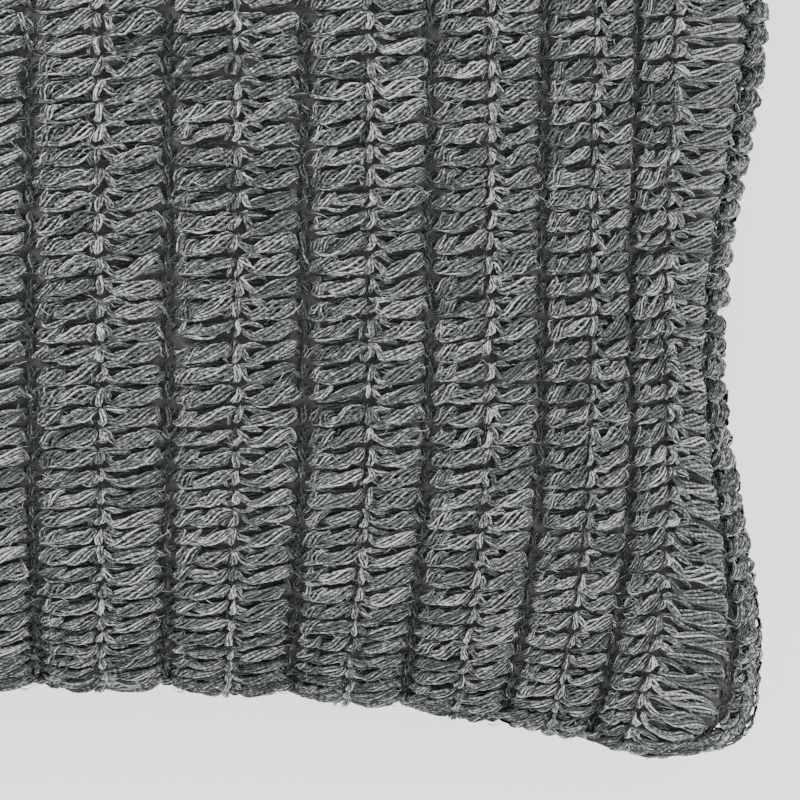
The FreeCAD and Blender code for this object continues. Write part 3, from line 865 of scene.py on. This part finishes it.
def seam_thread(name, inset, node_name):
    """Stitches round the seam, which leave the zip's stretch free."""
    points, ahead, out = even_run(OUTLINE, 4.0 * MM)
    points = points - out * inset
    points = points[~((points[:, 1] < -0.15) & (np.abs(points[:, 0]) < ZIP_SIDE))]
    ahead = unit(np.roll(points, -1, 0) - np.roll(points, 1, 0))
    out = np.stack([ahead[:, 1], -ahead[:, 0], 0 * ahead[:, 0]], -1)
    up = np.array([0, 0, 1.0])
    knots = np.stack([points - ahead * 1.4 * MM + up * 0.35 * MM,
                      points - ahead * 0.5 * MM + out * 0.2 * MM,
                      points + ahead * 0.5 * MM + out * 0.2 * MM,
                      points + ahead * 1.4 * MM - up * 0.35 * MM], 1)
    skein = Skein()
    skein.add(spin(bend_through(knots, 6), np.repeat(out[:, None], 6, 1) + 0.001, 0.16 * MM, 0.12 * MM,
                   2, 0.8, 0.15 * MM, 0.5, 4), 0.5, 0.1)
    return show(name, skein.mesh(name), THREAD, "cover", "sewing_thread", node_name)


seam_thread("lining_seam_thread", 5.9 * MM, "lining_thread")
seam_thread("insert_seam_thread", 7.6 * MM, "insert_thread")


def running_stitch(name, node_name):
    low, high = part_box(node_name)
    level, front = (low.z + high.z) / 2, low.y
    x = np.arange(low.x + 2 * MM, high.x - 2 * MM, 3.2 * MM)
    flat = np.stack([x, 0 * x + front + 0.25 * MM, 0 * x + level], -1)
    knots = np.stack([flat + [-1.2 * MM, 0.2 * MM, 0], flat + [-0.5 * MM, -0.1 * MM, 0.05 * MM],
                      flat + [0.5 * MM, -0.1 * MM, -0.05 * MM], flat + [1.2 * MM, 0.2 * MM, 0]], 1)
    skein = Skein()
    skein.add(spin(bend_through(knots, 6), np.array([0, -1.0, 0.001]), 0.12 * MM, 0.1 * MM, 2, 0.8,
                   0.14 * MM, 0.5, 4), 0.6, 0.1)
    return show(name, skein.mesh(name), THREAD, "cover", "sewing_thread", node_name)


running_stitch("tape_stitch_front", "zip_thread_front")
running_stitch("tape_stitch_back", "zip_thread_back")
print("sewing done")

# %% [markdown]
# Each side of the zip is one nylon thread wound into a flattened coil, and the loops of the two
# coils lock into each other. The coil is drawn as the thread that it is: one long round wire
# that turns two hundred times.

# %% Zip coils
def soft_plastic(name, colour, light):
    finish, tree, shader = new_finish(name, 0.42, Coat_Weight=0.15)
    place_at = tree.nodes.new("ShaderNodeTexCoord").outputs["Object"]
    grain = node(tree, "ShaderNodeTexNoise", Scale=700.0, Detail=3.0)
    join(tree, place_at, grain.inputs["Vector"])
    join(tree, ramp(tree, grain.outputs["Fac"], (0.3, colour), (0.75, light)), shader.inputs["Base Color"])
    bump_from(tree, shader, grain.outputs["Fac"], 0.03 * MM)
    return finish


NYLON = soft_plastic("zip_nylon", (0.020, 0.022, 0.022), (0.045, 0.048, 0.048))
COIL_PITCH = 1.5 * MM
COIL_WIRE = 0.30 * MM
COIL_STEPS = 12


def coil(name, node_name, side):
    low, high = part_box(node_name)
    turns = int((high.x - low.x - 2 * COIL_WIRE) / COIL_PITCH)
    angle = np.arange(turns * COIL_STEPS + 1) * 2 * np.pi / COIL_STEPS
    middle = [(a + b) / 2 for a, b in zip(low, high)]
    tall = (high.z - low.z) / 2 - COIL_WIRE
    deep = (high.y - low.y) / 2 - COIL_WIRE
    line = np.stack([low.x + COIL_WIRE + angle / (2 * np.pi) * COIL_PITCH,
                     middle[1] + deep * np.sin(angle),
                     middle[2] + side * tall * np.cos(angle)], -1)[None]
    out = line - np.stack([line[..., 0], 0 * line[..., 0] + middle[1], 0 * line[..., 0] + middle[2]], -1)
    skein = Skein()
    skein.add(spin(line, out, 0, 0, 1, 0, COIL_WIRE, 0.5, 6))
    return show(name, skein.mesh(name), NYLON, "cover", "zip_nylon", node_name)


coil("coil_front", "zip_coil_front", 1)
coil("coil_back", "zip_coil_back", -1)

# %% [markdown]
# The tapes, the slider, its pull and the stops keep their measured shapes. They only need their
# finishes: a herringbone tape of fine thread, and dark painted metal that has rubbed bright
# along its edges and shows small scratches.

# %% Tape and metal
def tape_finish(name):
    finish, tree, shader = new_finish(name, 0.8, Sheen_Weight=0.2)
    place_at = tree.nodes.new("ShaderNodeTexCoord").outputs["Object"]
    split = node(tree, "ShaderNodeSeparateXYZ")
    join(tree, place_at, split.inputs[0])
    lean = sums(tree, "PINGPONG", split.outputs["Z"], 2.2 * MM)
    twill = sums(tree, "SINE", sums(tree, "MULTIPLY", sums(tree, "ADD", split.outputs["X"], lean), 6500), 0)
    noise = node(tree, "ShaderNodeTexNoise", Scale=1500.0, Detail=2.0)
    join(tree, place_at, noise.inputs["Vector"])
    level = sums(tree, "ADD", sums(tree, "MULTIPLY", twill, 0.3), noise.outputs["Fac"])
    join(tree, ramp(tree, level, (0.25, (0.018, 0.02, 0.02)), (0.8, (0.055, 0.058, 0.058))),
         shader.inputs["Base Color"])
    bump_from(tree, shader, level, 0.08 * MM)
    return finish


def worn_metal(name):
    finish, tree, shader = new_finish(name, 0.38, Metallic=0.85)
    place_at = tree.nodes.new("ShaderNodeTexCoord").outputs["Object"]
    edges = node(tree, "ShaderNodeBevel", Radius=0.35 * MM)
    turned = node(tree, "ShaderNodeVectorMath", operation="DOT_PRODUCT")
    own = tree.nodes.new("ShaderNodeNewGeometry").outputs["Normal"]
    join(tree, edges.outputs["Normal"], turned.inputs[0], own, turned.inputs[1])
    scratch = node(tree, "ShaderNodeTexNoise", Scale=650.0, Detail=5.0, Roughness=0.7)
    join(tree, place_at, scratch.inputs["Vector"])
    worn = sums(tree, "ADD", sums(tree, "SUBTRACT", 1.0, turned.outputs["Value"]),
                sums(tree, "MULTIPLY", scratch.outputs["Fac"], 0.25))
    join(tree, ramp(tree, worn, (0.10, (0.035, 0.037, 0.038)), (0.30, (0.32, 0.32, 0.31))),
         shader.inputs["Base Color"])
    rough = sums(tree, "ADD", 0.25, sums(tree, "MULTIPLY", scratch.outputs["Fac"], 0.3))
    join(tree, rough, shader.inputs["Roughness"])
    bump_from(tree, shader, scratch.outputs["Fac"], 0.03 * MM)
    return finish


ZIP_TAPE = tape_finish("zip_tape")
ZIP_METAL = worn_metal("zip_metal")
for name, finish in (("zip_tape_front", ZIP_TAPE), ("zip_tape_back", ZIP_TAPE), ("zip_slider", ZIP_METAL),
                     ("zip_pull", ZIP_METAL), ("zip_top_stops", ZIP_METAL), ("zip_bottom_stop", ZIP_METAL)):
    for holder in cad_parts[name].material_slots:
        holder.material = finish
    print(name, "dressed in", finish.name)

# %% [markdown]
# A blank care label is sewn into the side seam and lies between the lining and the insert. It
# is a scrap of soft ribbon that follows the inside of the lining.

# %% Care label
label_rows, label_stitches = np.meshgrid(np.linspace(13.4, 12.28, 9), np.linspace(-3.1, 3.1, 15),
                                         indexing="ij")
label_points = place("front", label_rows, label_stitches, np.full_like(label_rows, -6.55 * MM))
label = show("blank_label", build_mesh("blank_label", label_points.reshape(-1, 3), grid_quads(9, 15)),
             LABEL_TAPE, "cover", "label_tape", "care_label")
thicken(label, 0.25 * MM)

# %% [markdown]
# A still-life set for one soft object needs little: a pale floor that runs out of sight, a big
# soft light high on the left, a weaker one opposite, and a long lens that keeps the ribs even.

# %% Floor, lights and camera
floor_mesh = build_mesh("floor", np.array([(-6, -6, 0), (6, -6, 0), (6, 6, 0), (-6, 6, 0)], float),
                        np.array([[0, 1, 2, 3]]))
floor = bpy.data.objects.new("floor", floor_mesh)
bpy.context.collection.objects.link(floor)
floor_finish, floor_tree, floor_shader = new_finish("floor_paper", 0.9)
floor_shader.inputs["Base Color"].default_value = (0.96, 0.96, 0.96, 1)
floor_shader.inputs["Emission Color"].default_value = (1, 1, 1, 1)
floor_shader.inputs["Emission Strength"].default_value = 1.0
floor_mesh.materials.append(floor_finish)


def soft_light(name, place_at, size, power):
    lamp = bpy.data.lights.new(name, "AREA")
    lamp.size = size
    lamp.energy = power
    holder = bpy.data.objects.new(name, lamp)
    bpy.context.collection.objects.link(holder)
    holder.location = place_at
    aim = -holder.location.normalized()
    holder.rotation_euler = aim.to_track_quat("-Z", "Y").to_euler()


soft_light("key_light", (-1.5, 1.3, 2.2), 1.2, 120)
soft_light("fill_light", (1.8, -1.2, 1.8), 2.0, 40)
world = bpy.data.worlds.new("studio")
bpy.context.scene.world = world
world.use_nodes = True
world.node_tree.nodes["Background"].inputs["Color"].default_value = (0.95, 0.97, 1.0, 1)
world.node_tree.nodes["Background"].inputs["Strength"].default_value = 1.1

VIEW_WIDTH = 0.238
VIEW_MIDDLE = (0.119, -0.1208)
CAMERA_HEIGHT = 3.0
FOCUS_LEVEL = 0.105
lens = bpy.data.cameras.new("camera")
lens.sensor_width = 36
lens.lens = 36 * (CAMERA_HEIGHT - FOCUS_LEVEL) / VIEW_WIDTH
lens.clip_end = 100
camera = bpy.data.objects.new("camera", lens)
bpy.context.collection.objects.link(camera)
camera.location = (*VIEW_MIDDLE, CAMERA_HEIGHT)
bpy.context.scene.camera = camera
print("lens", round(lens.lens), "mm")
